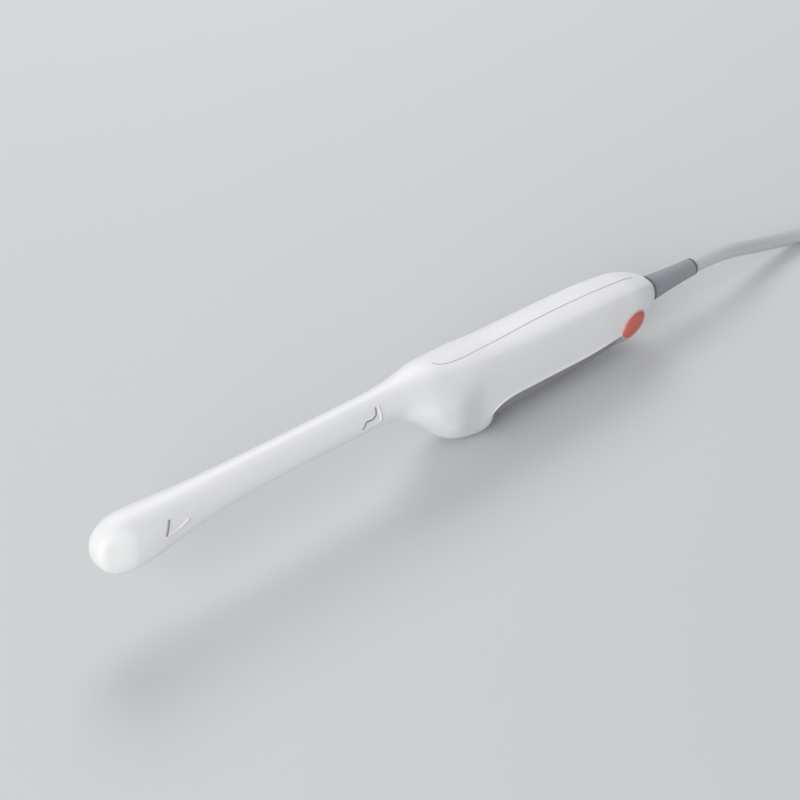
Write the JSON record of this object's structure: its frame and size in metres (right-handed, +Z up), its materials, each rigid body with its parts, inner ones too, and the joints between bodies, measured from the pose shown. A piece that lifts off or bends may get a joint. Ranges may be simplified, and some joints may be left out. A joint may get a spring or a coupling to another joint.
{
  "type": "endocavity ultrasound probe",
  "caption": "Long slim ultrasound probe with a rounded head, a guard bulge, a faceted handle, and a cable to a locking connector.",
  "frame": {"origin": "middle of the probe's footprint, without its cable and connector, on the surface that it lies on", "axes": "+X from the head along the probe towards the strain relief, +Z up, +Y to the far side of the picture"},
  "size_m": [0.6864, 0.0593, 0.0507],
  "materials": {
    "shell": "satin",
    "marker": "gloss",
    "lens": "satin",
    "resin": "gloss",
    "piezo": "matte",
    "backing": "matte",
    "aluminium": "satin",
    "flex": "gloss",
    "bundle": "matte",
    "copper": "satin",
    "seal": "matte",
    "connector_plastic": "matte",
    "board": "gloss",
    "tin": "satin",
    "jacket": "matte",
    "clamp": "matte",
    "steel": "satin",
    "boot": "matte",
    "tie": "matte",
    "plug_plastic": "matte",
    "gold": "polished"
  },
  "bodies": {
    "probe": {"left_housing": "shell", "right_housing": "shell", "orientation_marker": "marker", "acoustic_lens": "lens", "matching_layer": "resin", "piezo_array": "piezo", "backing_block": "backing", "array_carrier": "aluminium", "flex_circuits": "flex", "coax_bundle": "bundle", "bundle_shield": "copper", "shaft_seal": "seal", "harness_plug": "connector_plastic", "interface_board": "board", "board_connectors": "connector_plastic", "shield_can": "tin", "cable_lead_in": "jacket", "braid_ferrule": "copper", "cable_clamp_upper": "clamp", "cable_clamp_lower": "clamp", "clamp_screws": "steel", "strain_relief": "boot", "cable": "jacket", "cable_hank": "jacket", "cable_tie": "tie", "cable_tail": "jacket", "connector_base": "plug_plastic", "connector_cover": "plug_plastic", "housing_screws": "steel", "plug_shell": "aluminium", "contact_block": "connector_plastic", "contacts": "gold", "connector_board": "board", "connector_clamp": "clamp", "connector_lead_in": "jacket", "connector_strain_relief": "boot"},
    "lock": {"lock_shaft": "steel", "lock_knob": "plug_plastic"}
  },
  "joints": [
    {"name": "lock_turn", "type": "hinge", "parent": "probe", "child": "lock", "pos_m": [0.488, 0, 0.0358], "axis": [0, 0, 1], "range_deg": [0, 90]}
  ]
}
